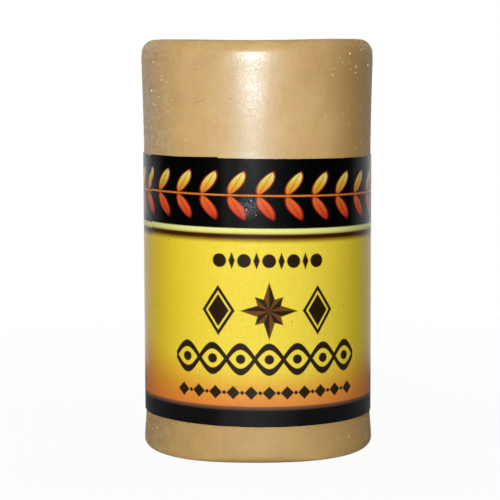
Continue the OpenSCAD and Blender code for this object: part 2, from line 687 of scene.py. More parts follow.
@dataclass
class Artwork:
    """The label's print, drawn from where a point lies on the flat label, in millimetres.

    The artwork repeats once at the back of the stick. Across and high give a point's place in one
    repeat of it, and off is the distance to either side of the artwork's middle.
    """

    g: Graph
    wrap: Socket
    motif: Motif = Motif()
    palette: Palette = Palette()
    panel: Socket = field(init=False)
    across: Socket = field(init=False)
    high: Socket = field(init=False)
    off: Socket = field(init=False)

    def __post_init__(self) -> None:
        """Works out the place in the artwork that every ornament starts from."""
        m = self.motif
        self.panel = self.folded(self.wrap, m.middle - m.half_repeat, m.middle + m.half_repeat)
        parts = self.g.add(XYZ, {0: self.panel}).node.outputs
        self.across, self.high = parts["X"], parts["Y"]
        self.off = self.g.chain(MATH, self.across, ("SUBTRACT", m.middle), ("ABSOLUTE",))

    def folded(self, at: Socket, low: float, high: float) -> Socket:
        """Repeats a place round the label, so that it always lies between two ends."""
        return self.g.chain(VECTOR, at, ("WRAP", (high, FAR, FAR), (low, -FAR, -FAR)))

    def spot(self, centre: tuple[float, float], repeat: float) -> Socket:
        """A place from the middle of a motif, for a motif that repeats along the label.

        Args:
            centre: The middle of one motif.
            repeat: The distance from one to the next.

        Returns:
            The place.
        """
        moved = self.g.chain(VECTOR, self.panel, ("SUBTRACT", (*centre, 0.0)))
        return self.folded(moved, -repeat / 2, repeat / 2)

    def disc(self, at: Socket, radius: float) -> Socket:
        """The distance outside a disc, from a place that is measured from its middle."""
        return self.g.chain(MATH, self.g.chain(VECTOR, at, ("LENGTH",)), ("SUBTRACT", radius))

    def lozenge(self, at: Socket, half_width: float, half_height: float) -> Socket:
        """The distance outside a lozenge.

        Args:
            at: The place, measured from the lozenge's middle.
            half_width: Half its width.
            half_height: Half its height.

        Returns:
            The distance, below 0 inside.
        """
        side = math.hypot(half_width, half_height)
        facing = (half_height / side, half_width / side, 0.0)
        along = self.g.chain(VECTOR, at, ("ABSOLUTE",), ("DOT_PRODUCT", facing))
        return self.g.chain(MATH, along, ("SUBTRACT", half_width * half_height / side))

    def row(self, shapes: tuple[Socket, ...], reach: float = FAR) -> Socket:
        """Joins shapes, and keeps them to a run to either side of the artwork's middle.

        Args:
            shapes: The distance outside each shape.
            reach: How far the run goes from the middle.

        Returns:
            The distance outside all of them.
        """
        past = self.g.chain(MATH, self.off, ("SUBTRACT", reach))
        joins = (("MINIMUM", shape) for shape in shapes[1:])
        return self.g.chain(MATH, shapes[0], *joins, ("MAXIMUM", past))

    def inked(self, at: Socket, below: Socket | str, inks: tuple[Ink, ...]) -> Socket:
        """Lays inks one over another, each fading in along a length.

        Args:
            at: The place along the length.
            below: The colour under the first ink.
            inks: The inks, lowest first.

        Returns:
            The colour with all the inks on it.
        """
        for start, full, ink in inks:
            share = self.g.add(RANGE, {0: at, 1: start, 2: full}, **SMOOTH)
            below = self.g.add(MIX, {0: share, 6: below, 7: ink}, **IN_COLOUR)
        return below

    def ground(self) -> Socket:
        """Draws the ground of the print: header band, rules, glowing field with painted shade to its sides,
        and foot band.

        Returns:
            The ground's colour.
        """
        g, inks = self.g, self.palette
        # The orange glow climbs higher towards the sides of the artwork.
        bowed = g.chain(MATH, self.off, ("MULTIPLY", self.off))
        climb = g.add(RANGE, Ramp(0.0, inks.glow_reach**2, 1.0, inks.glow_climb).of(bowed))
        start = inks.glow[0][0]
        lift = g.chain(MATH, self.high, ("SUBTRACT", start), ("MULTIPLY_ADD", climb, start))
        glow = self.inked(lift, inks.glow_low, inks.glow)
        # Painted shade: the field darkens towards the sides of the artwork.
        side_shade = self.inked(self.off, WHITE, inks.sides)
        tinted = g.add(MIX, {0: 1.0, 6: glow, 7: side_shade}, blend_type="MULTIPLY", **IN_COLOUR)
        return self.inked(self.high, tinted, inks.rules)

    def leaves(self, below: Socket) -> Socket:
        """Lays a running garland of slanted leaves on the header band.

        Args:
            below: The ground's colour.

        Returns:
            The colour with the garland.
        """
        g, m, inks = self.g, self.motif, self.palette
        half = m.leaf_repeat / 2
        rise = g.chain(MATH, self.high, ("SUBTRACT", m.leaf_line), ("ABSOLUTE",))
        slid = g.chain(MATH, rise, ("MULTIPLY_ADD", -m.leaf_slant, self.across), ("WRAP", -half, half))
        slid = g.chain(MATH, slid, ("ABSOLUTE",))
        # A leaf is where two circles overlap, one centred to each side of its rib.
        radius = (m.leaf_half_width**2 + m.leaf_half_length**2) / (2 * m.leaf_half_width)
        hub = (m.leaf_half_width - radius, m.leaf_rise, 0.0)
        apart = self.disc(g.chain(VECTOR, g.add(JOIN_XYZ, {0: slid, 1: rise}), ("SUBTRACT", hub)), radius)
        soft = inks.softness
        # What each part follows, where it starts, where it is full, and how strongly it shows
        edges = (
            (apart, m.leaf_border + soft, m.leaf_border - soft, 1.0),
            (apart, soft, -soft, 1.0),
            (slid, m.rib_half_width + soft, m.rib_half_width - soft / 2, m.rib_share),
            (rise, m.stem_half_width + soft, m.stem_half_width - soft, 1.0),
        )
        border, fill, rib, stem = (
            g.add(RANGE, {0: at, 1: start, 2: full, 4: most}, **SMOOTH) for at, start, full, most in edges
        )
        clear = g.chain(MATH, 1.0, ("SUBTRACT", rib))
        fill = g.chain(MATH, fill, ("MULTIPLY", clear), ("MAXIMUM", stem))
        flame = self.inked(self.high, inks.flame_low, inks.flame)
        for share, ink in ((border, inks.leaf_edge), (fill, flame)):
            below = g.add(MIX, {0: share, 6: below, 7: ink}, **IN_COLOUR)
        return below

    def star(self) -> tuple[Socket, Socket]:
        """Draws a compass star of long and short points in turn.

        Returns:
            The distance outside the star, and 1 on the lighter half of each point.
        """
        g, m = self.g, self.motif
        at = g.chain(VECTOR, self.panel, ("SUBTRACT", (m.middle, m.star_line, 0.0)))
        out = g.chain(VECTOR, at, ("LENGTH",))
        parts = g.add(XYZ, {0: at}).node.outputs
        turn = g.chain(MATH, parts["Y"], ("ARCTAN2", parts["X"]), ("ADD", math.tau))
        point = math.tau / m.star_points
        folded = g.chain(MATH, turn, ("PINGPONG", point))
        turned = g.chain(MATH, point, ("SUBTRACT", folded))
        notch = (m.star_notch * math.cos(point), m.star_notch * math.sin(point))
        shape: Socket | float = FAR
        for angle, tip in ((folded, m.star_long), (turned, m.star_short)):
            normal = Vector((notch[1], tip - notch[0])).normalized()
            lean = g.chain(MATH, angle, ("SUBTRACT", math.atan2(normal.y, normal.x)), ("COSINE",))
            shape = g.chain(MATH, out, ("MULTIPLY_ADD", lean, -tip * normal.x), ("MINIMUM", shape))
        half = g.chain(MATH, turn, ("DIVIDE", point), ("FRACT",), ("LESS_THAN", 0.5))
        return shape, half

    def framed_lozenges(self) -> Socket:
        """Draws a dark lozenge to each side of the star, with a thin clear frame inside its border.

        Returns:
            The distance outside them.
        """
        g, m = self.g, self.motif
        beside = g.add(JOIN_XYZ, {0: self.off, 1: self.high})
        beside = g.chain(VECTOR, beside, ("SUBTRACT", (m.lozenge_offset, m.star_line, 0.0)))
        outer = self.lozenge(beside, m.lozenge_half_width, m.lozenge_half_height)
        clear = g.chain(MATH, outer, ("ADD", m.frame_inset), ("ABSOLUTE",))
        return g.chain(MATH, m.frame_half_width, ("SUBTRACT", clear), ("MAXIMUM", outer))

    def twist(self) -> Socket:
        """Draws a two-strand twist with an eye in each loop.

        Returns:
            The distance outside it.
        """
        g, m = self.g, self.motif
        swing = g.chain(MATH, self.off, ("MULTIPLY", math.pi / m.twist_half_wave), ("COSINE",), ("ABSOLUTE",))
        swing = g.chain(MATH, swing, ("MULTIPLY", m.twist_swing))
        strand = g.chain(MATH, self.high, ("SUBTRACT", m.twist_line), ("ABSOLUTE",), ("SUBTRACT", swing))
        strand = g.chain(MATH, strand, ("ABSOLUTE",), ("SUBTRACT", m.twist_half_stroke))
        loops = self.spot((m.middle, m.twist_line), m.twist_half_wave)
        return self.row((strand, self.disc(loops, m.eye_radius)), m.twist_reach)

    def beads(self) -> Socket:
        """Draws a row of beads with small lozenges between them.

        Returns:
            The distance outside it.
        """
        m = self.motif
        beads = self.spot((m.middle, m.bead_line), m.bead_repeat)
        reels = self.spot((m.middle + m.bead_repeat / 2, m.bead_line), m.bead_repeat)
        reel = self.lozenge(reels, m.reel_half_width, m.reel_half_height)
        return self.row((self.disc(beads, m.bead_radius), reel), m.bead_reach)

    def links(self) -> Socket:
        """Draws a chain of lozenges with dots between them.

        Returns:
            The distance outside it.
        """
        m = self.motif
        links = self.spot((m.middle, m.chain_line), m.chain_repeat)
        dots = self.spot((m.middle + m.chain_repeat / 2, m.chain_line), m.chain_repeat)
        link = self.lozenge(links, m.chain_half_size, m.chain_half_size)
        return self.row((link, self.disc(dots, m.chain_dot)), m.chain_reach)

    def specks(self) -> Socket:
        """Draws the few stray specks that a press leaves in a plain field.

        Returns:
            The distance outside them.
        """
        m = self.motif
        cells = {"Vector": self.panel, "Scale": 1 / m.speck_spacing}
        apart = self.g.add("ShaderNodeTexVoronoi", cells, voronoi_dimensions="2D")
        return self.g.chain(MATH, apart, ("MULTIPLY_ADD", m.speck_spacing, -m.speck_radius))

    def colour(self) -> Socket:
        """Draws the whole print.

        Returns:
            Its colour.
        """
        g, inks = self.g, self.palette
        dark = self.row((self.beads(), self.framed_lozenges(), self.twist(), self.links(), self.specks()))
        star, lighter = self.star()
        star_ink = g.add(MIX, {0: lighter, 6: inks.dark, 7: inks.dark_light}, **IN_COLOUR)
        colour = self.leaves(self.ground())
        for apart, ink in ((dark, inks.dark), (star, star_ink)):
            share = g.add(RANGE, Ramp(inks.softness, -inks.softness).of(apart), **SMOOTH)
            colour = g.add(MIX, {0: share, 6: colour, 7: ink}, **IN_COLOUR)
        return colour


@dataclass(frozen=True)
class PrintedFilm:
    """Polypropylene label film, flexo-printed and varnished: deep inks under a low, slightly uneven gloss."""

    ior: float = 1.49
    specular: float = 0.09
    varnish_share: float = 0.65
    varnish_roughness: float = 0.12
    roughness: Ramp = Ramp(0.3, 0.7, 0.39, 0.50)
    laydown_grain: Grain = Grain(0.3)
    laydown: Ramp = Ramp(0.3, 0.7, 0.96, 1.03)
    peel: Grain = Grain(0.9)
    peel_height: float = 0.004
    wax_lumps: Grain = Grain(3.0, 1.0)
    wax_height: float = 0.012
    # A painted patch of glare on the header: its colour, place, fade and grain
    painted_glare: str = "#B4BCCA"
    glare_place: Triple = (-0.95, 27.1, 0.0)
    glare_fade: Ramp = Ramp(1.35, 0.27, 0.0, 0.42)
    glare_grit: Grain = Grain(0.2, 3.0)
    glare_grains: Ramp = Ramp(0.4, 0.72)

    def build(self) -> Material:
        """Builds the material.

        Returns:
            The finished material.
        """
        material, g = new_material("varnished_polypropylene_label")
        wrap = g.add("ShaderNodeAttribute", out="Vector", attribute_name=WRAP)
        place = g.add("ShaderNodeTexCoord", out="Object")
        # Flexo ink lies a little unevenly, by a few per cent over a few tenths of a millimetre.
        tint = g.add(RANGE, self.laydown.of(g.add(NOISE, self.laydown_grain.of(place))))
        colour = g.add(VECTOR, {0: Artwork(g, wrap).colour(), 3: tint}, operation="SCALE")
        normal = g.add("ShaderNodeNewGeometry", out="Normal")
        lumps = g.add(NOISE, self.wax_lumps.of(place))
        peel = g.add(NOISE, self.peel.of(place))
        for height, tallest in ((lumps, self.wax_height), (peel, self.peel_height)):
            links = {"Height": height, "Distance": tallest * MM, "Strength": 1.0, "Normal": normal}
            normal = g.add("ShaderNodeBump", links)
        shader = g.add(
            "ShaderNodeBsdfPrincipled",
            {
                "Base Color": self.with_painted_glare(g, wrap, colour),
                "Roughness": g.add(RANGE, self.roughness.of(peel)),
                "IOR": self.ior,
                "Specular IOR Level": self.specular,
                "Coat Weight": self.varnish_share,
                "Coat Roughness": self.varnish_roughness,
                "Normal": normal,
            },
        )
        g.add("ShaderNodeOutputMaterial", {"Surface": shader})
        return material

    def with_painted_glare(self, g: Graph, wrap: Socket, below: Socket) -> Socket:
        """Paints a pale, grainy patch of the lamp's glare in one small place on the header.

        Args:
            g: The material's graph.
            wrap: Millimetres round the label and up the stick.
            below: The print's colour.

        Returns:
            The colour with the painted glare.
        """
        fade = g.add(RANGE, self.glare_fade.of(g.chain(VECTOR, wrap, ("DISTANCE", self.glare_place))))
        grains = g.add(RANGE, self.glare_grains.of(g.add(NOISE, self.glare_grit.of(wrap, 1.0))))
        share = g.chain(MATH, fade, ("MULTIPLY", grains))
        return g.add(MIX, {0: share, 6: below, 7: self.painted_glare}, **IN_COLOUR)


# Pieces


@dataclass(frozen=True)
class Lumps:
    """Smooth noise over the casting: how far apart its lumps lie, and where in the noise it is read."""

    size: float
    origin: Triple

    def at(self, point: Vector) -> float:
        """The noise at a point, from about -1 to 1."""
        return noise.noise(point / self.size + Vector(self.origin))


@dataclass
class Casting:
    """The wax block, revolved from its profile and then dented, sunk and rubbed as a hand-poured stick is."""

    height: float = 44.45
    waist_radius: float = WAIST_RADIUS
    rim_radius: float = 12.70
    foot_radius: float = 12.63
    rim_fillet: float = 1.5
    foot_fillet: float = 0.6
    waist_low: float = 3.74
    waist_high: float = 32.51
    flare_straight: float = 0.35
    shoulder_height: float = 0.85
    shoulder_lean: float = 8.3
    sink_depth: float = 0.28
    sink_radius: float = 7.5

    # Wear of the foot's edge and of the rim
    front_wear: float = 0.3
    front_focus: int = 8
    side_crispness: float = 1.9
    edge_unevenness: float = 0.08
    edge_rate: float = 2.2
    edge_slice: float = 5.0
    sharpest_edge: float = 0.1
    rim_rise: float = 0.09
    top_wear: float = 0.19
    top_focus: int = 4

    # Dents, the poured top's rings, and nicks in its edge
    dent_depth: float = 0.035
    slow_dents: Lumps = Lumps(9.0, (3.1, 0.0, 7.7))
    quick_dents: Lumps = Lumps(2.6, (11.0, 5.0, 0.0))
    slow_share: float = 0.62
    quick_share: float = 0.22
    dent_bias: float = 0.5
    hidden_share: float = 0.3
    ring_height: float = 0.012
    ring_rate: float = 2.1
    ring_reach: float = 12.5
    ring_fade: float = 6.0
    nicks: Lumps = Lumps(1.7, (0.0, 21.0, 4.0))
    nick_depth: float = 0.16
    nick_rarity: float = 0.46

    # The rings of the mesh, from the base's middle to the top's
    base_rings: tuple[float, ...] = (1.5, 4.0, 7.0, 9.5, 11.0)
    foot_steps: int = 10
    flare_steps: int = 18
    waist_steps: int = 10
    wall_steps: int = 56
    rim_steps: int = 18
    top_steps: int = 30
    steps_around: int = 480

    # Each scratch or pit: the angle and height of its start and its end, and its half width
    marks: tuple[tuple[tuple[float, float], tuple[float, float], float], ...] = (
        ((-32.9, 37.81), (-29.0, 37.95), 0.10),
        ((-29.0, 37.98), (-25.7, 38.25), 0.13),
        ((-12.9, 38.25), (-12.5, 38.3), 0.13),
        ((64.0, 34.6), (66.0, 34.7), 0.11),
    )

    def foot_edge(self, turn: float) -> float:
        """The radius of the foot's edge: wiped round at the front, crisp to either side of it.

        Args:
            turn: The angle round the axis from +X, in radians.

        Returns:
            The radius in millimetres.
        """
        front, side = max(0.0, -math.sin(turn)), abs(math.cos(turn))
        rim = Vector((math.cos(turn), math.sin(turn), self.edge_slice))
        uneven = self.edge_unevenness * noise.noise(rim * self.edge_rate)
        wiped = self.front_wear * front**self.front_focus
        edge = self.foot_fillet + wiped - self.side_crispness * (front * side) ** 2
        return max(edge + uneven, self.sharpest_edge)

    def profile(self, turn: float) -> list[tuple[float, float, Region]]:
        """Lists the points of the profile from the base's middle to the top's middle, at one angle.

        Args:
            turn: The angle round the axis from +X, in radians.

        Returns:
            For each point its radius and height in millimetres, and the region it lies in.
        """
        rings = [(radius, 0.0, Region.BASE) for radius in self.base_rings]
        edge = self.foot_edge(turn)
        hub = self.foot_radius - edge
        for share in (0.0, *shares(self.foot_steps)):
            angle = math.radians(90 * share - 90)
            rings.append((hub + edge * math.cos(angle), edge * (1 + math.sin(angle)), Region.WALL))
        for share in shares(self.flare_steps):
            radius = self.foot_radius + (self.waist_radius - self.foot_radius) * eased(share)
            rings.append((radius, edge + (self.waist_low - edge) * share, Region.WALL))
        for share in shares(self.waist_steps):
            height = self.waist_low + (self.waist_high - self.waist_low) * share
            rings.append((self.waist_radius, height, Region.HIDDEN))
        # The wall eases inwards over a low shoulder, and the rim's rounding takes over from its lean.
        top_of_wall = self.height - self.rim_fillet
        drawn_in = self.shoulder_height * math.tan(math.radians(self.shoulder_lean)) / 2
        for share in shares(self.wall_steps):
            height = self.waist_high + (top_of_wall - self.waist_high) * share
            into = max(0.0, 1 - (top_of_wall - height) / self.shoulder_height)
            opened = self.flare_straight * share + (1 - self.flare_straight) * share**2
            flare = (self.rim_radius - self.waist_radius) * opened
            rings.append((self.waist_radius + flare - drawn_in * into**2, height, Region.WALL))
        hub = self.rim_radius - drawn_in - self.rim_fillet
        for share in shares(self.rim_steps):
            angle = math.radians(90 * share)
            radius = hub + self.rim_fillet * math.cos(angle)
            rings.append((radius, top_of_wall + self.rim_fillet * math.sin(angle), Region.TOP))
        for share in shares(self.top_steps)[:-1]:
            radius = hub * (1 - share)
            sunk = self.sink_depth * eased(max(0.0, 1 - radius / self.sink_radius))
            rings.append((radius, self.height - sunk, Region.TOP))
        # The rim set a little proud of the top, and its front is rubbed lower than the rest.
        settled = self.rim_rise - self.top_wear * max(0.0, -math.sin(turn)) ** self.top_focus
        start = self.height - 2 * self.rim_fillet
        return [
            (r, z + settled * max(0.0, (z - start) / (self.height - start)) * min(1.0, r / hub), region)
            for r, z, region in rings
        ]

    def relief(self, point: Vector, region: Region) -> float:
        """How far the surface stands off its smooth profile at a point.

        Args:
            point: The point on the smooth profile, in millimetres.
            region: The region that the point lies in.

        Returns:
            The height in millimetres, below 0 in a dent.
        """
        if region is Region.BASE:
            return 0.0
        dents = self.slow_share * self.slow_dents.at(point) + self.quick_share * self.quick_dents.at(point)
        height = self.dent_depth * (dents - self.dent_bias)
        if region is Region.HIDDEN:
            return self.hidden_share * height
        if region is Region.TOP:
            # The poured top sets in faint rings, and its edge is nicked here and there.
            reach = math.hypot(point.x, point.y)
            fade = min(1.0, (self.ring_reach - reach) / self.ring_fade)
            height += self.ring_height * math.sin(reach * self.ring_rate) * fade
            height -= self.nick_depth * max(0.0, self.nicks.at(point) - self.nick_rarity)
        return height

    def column(self, turn: float) -> list[Vector]:
        """Lists the points of the worn surface from the base's middle to the top's, at one angle.

        Args:
            turn: The angle round the axis from +X, in radians.

        Returns:
            The points, in millimetres.
        """
        rings = self.profile(turn)
        away = Vector((math.cos(turn), math.sin(turn), 0.0))
        befores, afters = rings[:1] + rings, rings[1:] + rings[-1:]
        points = []
        for before, (radius, height, region), after in zip(befores, rings, afters):
            outwards = Vector((after[1] - before[1], before[0] - after[0])).normalized()
            normal = away * outwards.x + Vector((0.0, 0.0, outwards.y))
            point = away * radius + Vector((0.0, 0.0, height))
            points.append(point + normal * self.relief(point, region))
        return points

    def build(self, finish: CastWax) -> bpy.types.Object:
        """Builds the block and gives it its wax, with the scratches in it.

        Args:
            finish: The wax.

        Returns:
            The finished object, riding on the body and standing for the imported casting.
        """
        builder = bmesh.new()
        columns = [
            [builder.verts.new(point * MM) for point in self.column(math.tau * step / self.steps_around)]
            for step in range(self.steps_around)
        ]
        base = builder.verts.new((0.0, 0.0, 0.0))
        middle = Vector((0.0, 0.0, self.height - self.sink_depth))
        crown = builder.verts.new((middle + Vector((0.0, 0.0, self.relief(middle, Region.TOP)))) * MM)
        for near, far in zip(columns, columns[1:] + columns[:1]):
            builder.faces.new((base, far[0], near[0]))
            for low, high in zip(range(len(near)), range(1, len(near))):
                builder.faces.new((near[low], far[low], far[high], near[high]))
            builder.faces.new((crown, near[-1], far[-1]))
        mesh = bpy.data.meshes.new("cast_wax_block")
        builder.to_mesh(mesh)
        builder.free()
        mesh.shade_smooth()
        scratches = tuple(
            (self.on_wall(*start) * MM, self.on_wall(*end) * MM, half * MM) for start, end, half in self.marks
        )
        mesh.materials.append(finish.build(scratches))
        block = new_object("cast_wax_block", mesh)
        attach(block, BODY)
        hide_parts("wax_stick")
        return block

    def on_wall(self, angle: float, height: float, off: float = 0.0) -> Vector:
        """The point of the smooth wall, or of what lies on it, at an angle from the front.

        Args:
            angle: The angle from the front, positive to the viewer's right.
            height: The height in millimetres.
            off: How far the point stands off the wall, in millimetres.

        Returns:
            The point, in millimetres.
        """
        if height > self.waist_high:
            share = (height - self.waist_high) / (self.height - self.rim_fillet - self.waist_high)
            radius = self.waist_radius + (self.rim_radius - self.waist_radius) * min(share, 1.0)
            over = max(0.0, height - (self.height - self.rim_fillet))
            radius -= self.rim_fillet - math.sqrt(self.rim_fillet**2 - over**2)
        else:
            share = (self.waist_low - height) / (self.waist_low - self.foot_fillet)
            radius = self.waist_radius + (self.foot_radius - self.waist_radius) * min(max(share, 0.0), 1.0)
        turn = math.radians(angle)
        radius += off
        return Vector((radius * math.sin(turn), -radius * math.cos(turn), height))


@dataclass
class WrapLayer:
    """One layer of the label: wound once round the waist, its end climbing over its own start."""

    name: str
    node: str
    slot: str
    inner_radius: float
    thickness: float
    waist_radius: float = WAIST_RADIUS
    turn_thickness: float = ADHESIVE_THICKNESS + FILM_THICKNESS
    lift: float = 3.98
    height: float = 28.15
    lap_length: float = 9.8
    climb_length: float = 1.6
    lap_angle: float = 64.0
    skew_low: float = 0.56
    skew_high: float = 0.75
    print_skew: float = 0.27
    drop: float = 0.12
    end_rise: float = 0.22
    inset: float = 0.0
    setback: float = 0.1
    corner_lift: float = 0.03
    edge_wander: float = 0.02
    tenting: float = 0.012
    seed: float = 0.37
    steps_around: int = 420
    steps_high: int = 60

    # How the film tents and its edges wander, how long its loose end is, and how far from the strip's
    # middle, as a share of its height, the corners and the edges begin
    tents: Grain = Grain(6.0, 1.0)
    wander: Grain = Grain(2.5)
    loose_end: Ramp = Ramp(0.0, 1.4, 1.0, 0.0)
    corners: Ramp = Ramp(0.42, 0.5, 0.25, 1.0)
    edges: Ramp = Ramp(0.44, 0.5)
    welded_within: float = 0.0001
    crease_angle: float = 40.0

    def sizes(self) -> dict[str, float]:
        """Gives the geometry tree's named inputs.

        Returns:
            The lengths in metres, the slopes, the seed and the counts, by name.
        """
        round_the_waist = math.tau * self.waist_radius
        lengths = {
            "Inner radius": self.inner_radius,
            "Thickness": self.thickness,
            "Turn": self.turn_thickness,
            "Waist radius": self.waist_radius,
            "Length": round_the_waist + self.lap_length - self.setback - self.inset,
            "Lap": self.lap_length,
            "Climb": self.climb_length,
            "Front at": self.waist_radius * math.radians(self.lap_angle),
            "Lift": self.lift,
            "Height": self.height,
            "End rise": self.end_rise,
            "Inset": self.inset,
            "Corner lift": self.corner_lift,
            "Edge wander": self.edge_wander,
            "Tenting": self.tenting,
        }
        skews = {"Skew low": self.skew_low, "Skew high": self.skew_high, "Print skew": self.print_skew}
        return {
            **{name: length * MM for name, length in lengths.items()},
            **{name: math.tan(math.radians(angle)) for name, angle in skews.items()},
            "Drop": self.drop / round_the_waist,
            "Seed": self.seed,
            "Steps around": self.steps_around,
            "Steps high": self.steps_high,
        }

    def tree(self) -> bpy.types.NodeTree:
        """Builds the geometry tree that winds a layer from its named sizes.

        Returns:
            The node tree.
        """
        g, size = new_geometry_tree("wound_label_layer", self.sizes())
        grid = g.add("GeometryNodeMeshGrid", {0: 1.0, 1: 1.0, 2: size["Steps around"], 3: size["Steps high"]})
        parts = g.add(XYZ, {0: g.add("GeometryNodeInputPosition")}).node.outputs
        # The grid is centred on the origin, so half a side turns a place on it to a share.
        share, rise = (g.chain(MATH, parts[axis], ("ADD", 0.5)) for axis in "XY")
        # Length along the wrap, from the free end on the outside to the start underneath
        run = g.add(RANGE, {0: share, 3: size["Inset"], 4: size["Length"]})
        off_front = g.chain(MATH, run, ("SUBTRACT", size["Front at"]))
        turn = g.chain(MATH, off_front, ("DIVIDE", size["Waist radius"]))
        side = g.chain(MATH, rise, ("SUBTRACT", 0.5), ("ABSOLUTE",))
        radius = self.wound(g, size, run, rise, side)
        across = g.chain(MATH, turn, ("SINE",), ("MULTIPLY", radius))
        ahead = g.chain(MATH, turn, ("COSINE",), ("MULTIPLY", radius), ("MULTIPLY", -1.0))

        tall = g.chain(MATH, size["Inset"], ("MULTIPLY", -2.0), ("ADD", size["Height"]))
        low = g.chain(MATH, size["Lift"], ("ADD", size["Inset"]))
        flat = g.chain(MATH, rise, ("MULTIPLY_ADD", tall, low))
        skew = g.add(RANGE, {0: rise, 3: size["Skew low"], 4: size["Skew high"]})
        tilt = g.chain(MATH, skew, ("MULTIPLY", across))
        dropped = g.chain(MATH, off_front, ("MULTIPLY", size["Drop"]))
        # The start of the strip, under the lap, was laid on a little askew and rises to its end.
        last = g.chain(MATH, size["Length"], ("SUBTRACT", size["Lap"]))
        late = g.add(RANGE, {0: run, 1: last, 2: size["Length"], 4: size["End rise"]})
        height = g.chain(MATH, flat, ("SUBTRACT", tilt), ("SUBTRACT", dropped), ("ADD", late))
        wander = g.add(NOISE, self.wander.of(g.add(JOIN_XYZ, {0: run, 1: size["Seed"]})))
        near_edge = g.add(RANGE, self.edges.of(side))
        wander = g.chain(MATH, wander, ("SUBTRACT", 0.5), ("MULTIPLY", near_edge))
        height = g.chain(MATH, wander, ("MULTIPLY_ADD", size["Edge wander"], height))

        # Where each point lies on the flat print, in millimetres
        printed = g.chain(MATH, size["Print skew"], ("MULTIPLY", rise), ("MULTIPLY_ADD", across, flat))
        printed = g.add(JOIN_XYZ, {0: off_front, 1: printed})
        printed = g.add(VECTOR, {0: printed, 3: 1 / MM}, operation="SCALE")
        stored = g.add(
            "GeometryNodeStoreNamedAttribute",
            {"Geometry": grid, "Name": WRAP, "Value": printed},
            data_type="FLOAT_VECTOR",
            domain="POINT",
        )
        place = g.add(JOIN_XYZ, {0: across, 1: ahead, 2: height})
        skin = g.add("GeometryNodeSetPosition", {"Geometry": stored, "Position": place})
        smooth = g.add("GeometryNodeSetShadeSmooth", {"Geometry": skin})
        thick = {"Mesh": smooth, "Offset Scale": size["Thickness"], "Individual": False}
        raised = g.add("GeometryNodeExtrudeMesh", thick)
        inside = g.add("GeometryNodeFlipFaces", {"Mesh": smooth})
        joined = g.add("GeometryNodeJoinGeometry", {0: [inside, raised]})
        weld = {"Geometry": joined, "Distance": self.welded_within * MM}
        closed = g.add("GeometryNodeMergeByDistance", weld)
        real = g.add("GeometryNodeRealizeInstances", {0: closed})
        finished = g.add("GeometryNodeSetMaterial", {"Geometry": real, "Material": size["Finish"]})
        g.add("NodeGroupOutput", {0: finished})
        return g.tree

    def wound(self, g: Graph, size: dict[str, Socket], run: Socket, rise: Socket, side: Socket) -> Socket:
        """How far the inner skin lies from the axis, as it climbs, tents and comes loose at its end.

        Args:
            g: The tree's graph.
            size: The tree's named inputs.
            run: Length along the wrap, in metres.
            rise: Share of the strip's height.
            side: Distance from the strip's middle, as a share of its height.

        Returns:
            The radius, in metres.
        """
        lap_end = g.chain(MATH, size["Lap"], ("ADD", size["Climb"]))
        outer = g.chain(MATH, size["Inner radius"], ("ADD", size["Turn"]))
        climb = {0: run, 1: size["Lap"], 2: lap_end, 3: outer, 4: size["Inner radius"]}
        radius = g.add(RANGE, climb, **SMOOTH)
        # The film only ever tents outwards, off the wax.
        up = g.chain(MATH, rise, ("MULTIPLY", size["Height"]))
        tents = {**self.tents.of(g.add(JOIN_XYZ, {0: run, 1: up})), "W": size["Seed"]}
        tent = g.add(NOISE, tents, noise_dimensions="4D")
        radius = g.chain(MATH, tent, ("MULTIPLY_ADD", size["Tenting"], radius))
        loose = g.add(RANGE, self.loose_end.of(run, MM))
        corner = g.add(RANGE, self.corners.of(side))
        peeled = g.chain(MATH, loose, ("MULTIPLY", loose), ("MULTIPLY", corner))
        return g.chain(MATH, peeled, ("MULTIPLY_ADD", size["Corner lift"], radius))

    def build(self, tree: bpy.types.NodeTree, finish: Material) -> bpy.types.Object:
        """Winds the layer.

        Args:
            tree: The geometry tree from tree().
            finish: The layer's material.

        Returns:
            The finished object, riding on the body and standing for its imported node.
        """
        made = grown(self.name, bpy.data.meshes.new(self.name), tree, self.sizes(), finish)
        made.data.set_sharp_from_angle(angle=math.radians(self.crease_angle))
        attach(made, BODY)
        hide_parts(self.node)
        return made


